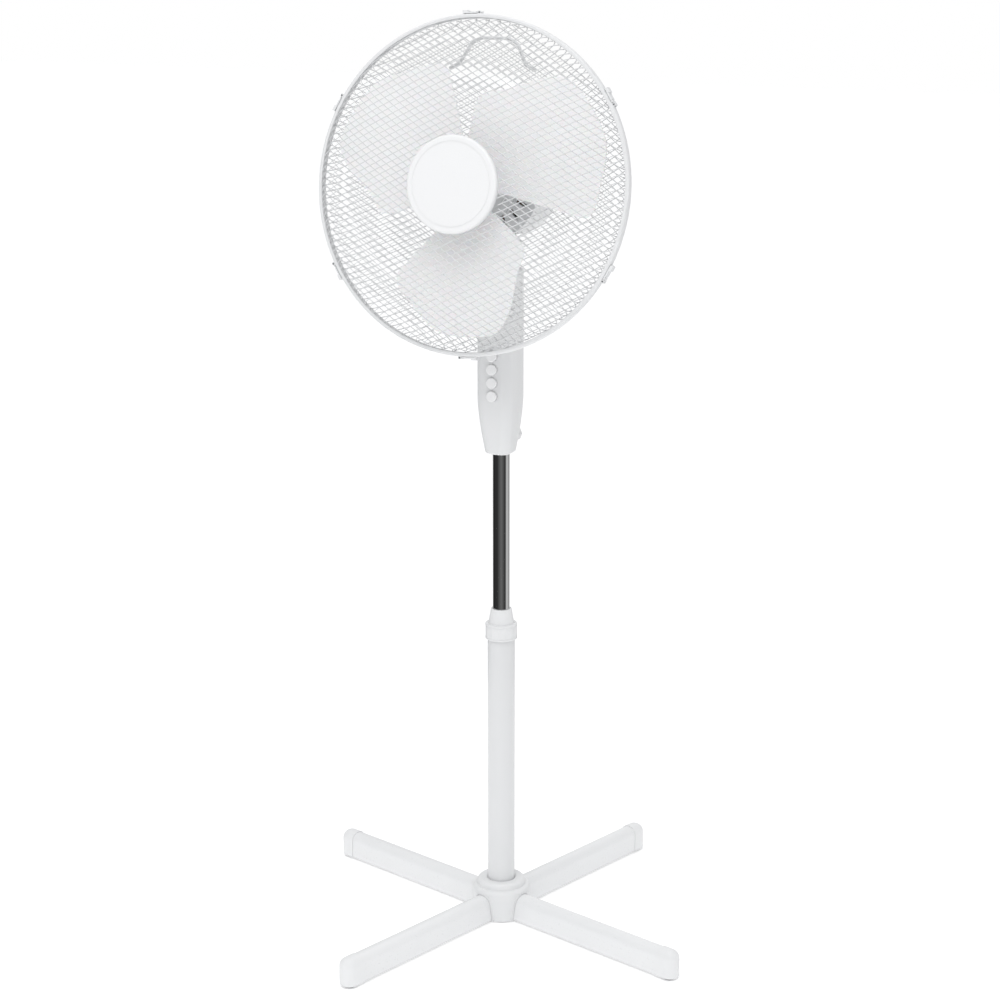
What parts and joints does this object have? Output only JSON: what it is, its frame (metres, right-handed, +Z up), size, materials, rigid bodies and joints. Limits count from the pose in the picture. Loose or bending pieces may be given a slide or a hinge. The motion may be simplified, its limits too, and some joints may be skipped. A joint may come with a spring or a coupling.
{
  "type": "pedestal fan",
  "caption": "Pedestal fan: crossed-leg base, height-adjustable pole with lock collar, push-button box and a tilting, oscillating head with a wire-mesh guard over broad blades.",
  "frame": {"origin": "on the floor, under the pole's axis, at the middle of the crossed legs", "axes": "+Z up along the pole; -Y is the side that the head, the buttons and the control box face at rest; +X is to the right of someone facing the fan"},
  "size_m": [0.5986, 0.5986, 1.2554],
  "materials": {
    "leg_enamel": "white powder coat, semi-gloss",
    "tube_enamel": "white powder coat, smooth semi-gloss",
    "chrome_tube": "polished chrome plate",
    "body_plastic": "white ABS, satin moulded face",
    "cap_plastic": "white polypropylene, fine moulded texture",
    "collar_plastic": "white nylon, ribbed grip",
    "button_plastic": "white push buttons",
    "blade_plastic": "white polypropylene, slightly see-through edge",
    "badge_plastic": "white disc, satin",
    "guard_enamel": "white dip-coated steel wire",
    "foot_rubber": "black rubber pads",
    "zinc_steel": "zinc-plated steel",
    "cast_alloy": "die-cast alloy",
    "lamination": "stacked electrical steel, varnished",
    "copper_winding": "enamelled copper wire, a little reddish",
    "dark_nylon": "black nylon",
    "socket_nylon": "grey glass-filled nylon"
  },
  "bodies": {
    "base": {"cross_leg_lower": "leg_enamel", "cross_leg_upper": "leg_enamel", "base_cover": "body_plastic", "pole_flange": "tube_enamel", "base_screws": "zinc_steel", "outer_tube": "tube_enamel", "tube_collet": "collar_plastic", "foot_pads": "foot_rubber", "leg_end_cap_1": "cap_plastic", "leg_end_cap_2": "cap_plastic", "leg_end_cap_3": "cap_plastic", "leg_end_cap_4": "cap_plastic"},
    "lock_collar": {"lock_collar": "collar_plastic"},
    "inner_tube": {"inner_tube": "chrome_tube", "tube_guide": "collar_plastic"},
    "control_box": {"box_front_shell": "body_plastic", "box_rear_shell": "body_plastic", "box_screws": "zinc_steel", "tube_socket": "socket_nylon", "tilt_bracket": "zinc_steel", "switch_block": "dark_nylon", "cord_gland": "dark_nylon", "tilt_bolt": "zinc_steel", "tilt_nut": "zinc_steel"},
    "clamp_knob": {"clamp_knob": "collar_plastic"},
    "neck": {"neck_casting": "cast_alloy", "osc_pin": "zinc_steel"},
    "osc_link": {"osc_link": "zinc_steel"},
    "head": {"motor_frame": "cast_alloy", "motor_front_cover": "body_plastic", "motor_rear_cover": "body_plastic", "stator_core": "lamination", "stator_coils": "copper_winding", "shaft_bearings": "copper_winding", "gearbox": "dark_nylon", "guard_nut": "collar_plastic", "rear_guard_frame": "guard_enamel", "rear_guard_mesh": "guard_enamel", "front_guard_frame": "guard_enamel", "front_guard_mesh": "guard_enamel", "guard_trim_ring": "body_plastic", "centre_badge": "badge_plastic", "carry_handle": "guard_enamel", "cover_screws": "zinc_steel"},
    "osc_crank": {"osc_crank": "cast_alloy"},
    "osc_knob": {"osc_knob": "collar_plastic"},
    "rotor": {"motor_shaft": "zinc_steel", "rotor_core": "lamination", "fan_blade": "blade_plastic", "spinner": "collar_plastic"},
    "speed_button_1": {"speed_button_1": "button_plastic"},
    "speed_button_2": {"speed_button_2": "button_plastic"},
    "speed_button_3": {"speed_button_3": "button_plastic"},
    "speed_button_4": {"speed_button_4": "button_plastic"},
    "guard_clip_1": {"guard_clip_1": "body_plastic"},
    "guard_clip_2": {"guard_clip_2": "body_plastic"},
    "guard_clip_3": {"guard_clip_3": "body_plastic"},
    "guard_clip_4": {"guard_clip_4": "body_plastic"},
    "guard_clip_5": {"guard_clip_5": "body_plastic"},
    "guard_clip_6": {"guard_clip_6": "body_plastic"}
  },
  "joints": [
    {"name": "collar_turn", "type": "hinge", "parent": "base", "child": "lock_collar", "pos_m": [0, 0, 0.421], "axis": [0, 0, 1], "range_deg": [0, 180]},
    {"name": "pole_slide", "type": "slide", "parent": "base", "child": "inner_tube", "axis": [0, 0, 1], "range_m": [-0.2, 0]},
    {"name": "box_swivel", "type": "hinge", "parent": "inner_tube", "child": "control_box", "pos_m": [0, 0, 0.7], "axis": [0, 0, 1], "range_deg": [-90, 90]},
    {"name": "clamp_turn", "type": "hinge", "parent": "control_box", "child": "clamp_knob", "pos_m": [0, 0.04, 0.688], "axis": [0, 1, 0], "range_deg": [0, 270]},
    {"name": "head_tilt", "type": "hinge", "parent": "control_box", "child": "neck", "pos_m": [0, 0, 0.9375], "axis": [1, 0, 0], "range_deg": [-8, 25]},
    {"name": "head_oscillation", "type": "hinge", "parent": "neck", "child": "head", "pos_m": [0, 0.00469, 0.96713], "axis": [0, 0.1564, 0.9877], "range_deg": [-38, 38]},
    {"name": "link_swing", "type": "hinge", "parent": "neck", "child": "osc_link", "pos_m": [-0.018, 0.00375, 0.9612], "axis": [0, 0.1564, 0.9877], "range_deg": [-41.8, 41.8]},
    {"name": "crank_turn", "type": "hinge", "parent": "head", "child": "osc_crank", "pos_m": [-0.018, 0.04883, 0.95812], "axis": [0, 0.1564, 0.9877], "continuous": true},
    {"name": "osc_knob_pull", "type": "slide", "parent": "head", "child": "osc_knob", "axis": [0, 0.1564, 0.9877], "range_m": [0, 0.008]},
    {"name": "rotor_spin", "type": "hinge", "parent": "head", "child": "rotor", "pos_m": [0, 0.0133, 1.02145], "axis": [0, -0.9877, 0.1564], "continuous": true},
    {"name": "speed_button_1_press", "type": "slide", "parent": "control_box", "child": "speed_button_1", "axis": [0, 1, 0], "range_m": [0, 0.0035], "stiffness_N_per_m": 300},
    {"name": "speed_button_2_press", "type": "slide", "parent": "control_box", "child": "speed_button_2", "axis": [0, 1, 0], "range_m": [0, 0.0035], "stiffness_N_per_m": 300},
    {"name": "speed_button_3_press", "type": "slide", "parent": "control_box", "child": "speed_button_3", "axis": [0, 1, 0], "range_m": [0, 0.0035], "stiffness_N_per_m": 300},
    {"name": "speed_button_4_press", "type": "slide", "parent": "control_box", "child": "speed_button_4", "axis": [0, 1, 0], "range_m": [0, 0.0035], "stiffness_N_per_m": 300},
    {"name": "guard_clip_1_open", "type": "hinge", "parent": "head", "child": "guard_clip_1", "pos_m": [-0.00104, -0.06146, 1.25264], "axis": [0, 0.9877, -0.1564], "range_deg": [0, 60]},
    {"name": "guard_clip_2_open", "type": "hinge", "parent": "head", "child": "guard_clip_2", "pos_m": [-0.18814, -0.07854, 1.14476], "axis": [0, 0.9877, -0.1564], "range_deg": [0, 60]},
    {"name": "guard_clip_3_open", "type": "hinge", "parent": "head", "child": "guard_clip_3", "pos_m": [-0.1871, -0.11243, 0.93078], "axis": [0, 0.9877, -0.1564], "range_deg": [0, 60]},
    {"name": "guard_clip_4_open", "type": "hinge", "parent": "head", "child": "guard_clip_4", "pos_m": [0.00104, -0.12924, 0.82469], "axis": [0, 0.9877, -0.1564], "range_deg": [0, 60]},
    {"name": "guard_clip_5_open", "type": "hinge", "parent": "head", "child": "guard_clip_5", "pos_m": [0.18814, -0.11215, 0.93256], "axis": [0, 0.9877, -0.1564], "range_deg": [0, 60]},
    {"name": "guard_clip_6_open", "type": "hinge", "parent": "head", "child": "guard_clip_6", "pos_m": [0.1871, -0.07826, 1.14654], "axis": [0, 0.9877, -0.1564], "range_deg": [0, 60]}
  ],
  "couplings": [
    {"joint": "link_swing", "follows": "head_oscillation", "ratio": 1.1}
  ]
}
